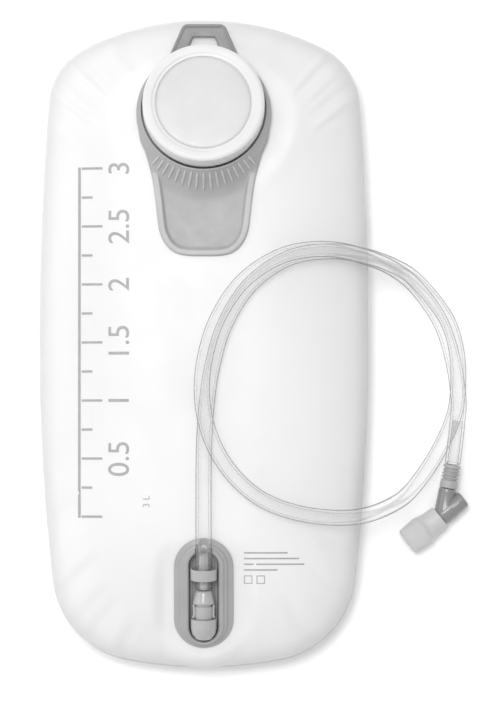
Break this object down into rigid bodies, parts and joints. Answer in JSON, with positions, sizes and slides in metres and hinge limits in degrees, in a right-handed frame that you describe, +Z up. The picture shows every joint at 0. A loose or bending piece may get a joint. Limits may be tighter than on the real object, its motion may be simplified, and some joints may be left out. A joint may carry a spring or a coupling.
{
  "type": "hydration bladder",
  "caption": "Soft water reservoir with a wide screw cap in a soft handle with hang loop, a quick-disconnect port, and a clear drinking tube ending in a twist-lock bite valve.",
  "frame": {"origin": "on the ground under the middle of the bag, which lies on its back", "axes": "+Y towards the hang loop end, +Z up through the bag's thickness, +X to the side where the tube lies"},
  "size_m": [0.2591, 0.39, 0.0761],
  "materials": {
    "film": "frosted translucent TPU film",
    "neck_plastic": "satin",
    "handle_tpu": "soft satin TPU",
    "cap_plastic": "frosted satin",
    "cap_disc_plastic": "frosted satin",
    "silicone": "matte silicone",
    "port_tpu": "soft satin TPU",
    "connector_plastic": "satin moulded plastic",
    "spring_steel": "bright wire",
    "clear_tube": "clear glossy TPU tube",
    "sleeve_rubber": "satin",
    "valve_plastic": "satin moulded plastic",
    "bite_silicone": "translucent matte silicone"
  },
  "bodies": {
    "reservoir": {"bag_front_film": "film", "bag_back_film": "film", "mouth_ring": "neck_plastic", "handle": "handle_tpu", "port_flange": "port_tpu", "port_body": "connector_plastic", "poppet_spring": "spring_steel"},
    "cap_seal_ring": {"cap_seal": "silicone"},
    "cap": {"cap_shell": "cap_plastic", "cap_disc": "cap_disc_plastic"},
    "poppet": {"valve_poppet": "connector_plastic", "poppet_seal": "silicone"},
    "hose": {"hose_plug": "connector_plastic", "plug_o_ring": "silicone", "drinking_tube": "clear_tube", "tube_sleeve": "sleeve_rubber", "valve_elbow": "valve_plastic", "barrel_end_plug": "valve_plastic"},
    "mouthpiece": {"bite_valve": "bite_silicone", "valve_core": "connector_plastic", "core_o_ring_front": "silicone", "core_o_ring_rear": "silicone"}
  },
  "joints": [
    {"name": "cap_lift", "type": "slide", "parent": "reservoir", "child": "cap_seal_ring", "axis": [0, 0.2334, 0.9724], "range_m": [0, 0.04]},
    {"name": "cap_turn", "type": "hinge", "parent": "cap_seal_ring", "child": "cap", "pos_m": [0, 0.1369, 0.0455], "axis": [0, 0.2334, 0.9724], "range_deg": [0, 900]},
    {"name": "hose_pull", "type": "slide", "parent": "reservoir", "child": "hose", "axis": [0, 0.9816, 0.1908], "range_m": [0, 0.012]},
    {"name": "poppet_travel", "type": "slide", "parent": "reservoir", "child": "poppet", "axis": [0, 0.9816, 0.1908], "range_m": [0, 0.0012], "deforming": ["poppet_spring"]},
    {"name": "bite_twist", "type": "hinge", "parent": "hose", "child": "mouthpiece", "pos_m": [0.1428, -0.1043, 0.008], "axis": [-0.7896, -0.6137, 0], "range_deg": [0, 90]}
  ],
  "couplings": [
    {"joint": "cap_turn", "follows": "cap_lift", "rad_per_m": 392.7},
    {"joint": "poppet_travel", "follows": "hose_pull", "ratio": 0.1}
  ]
}
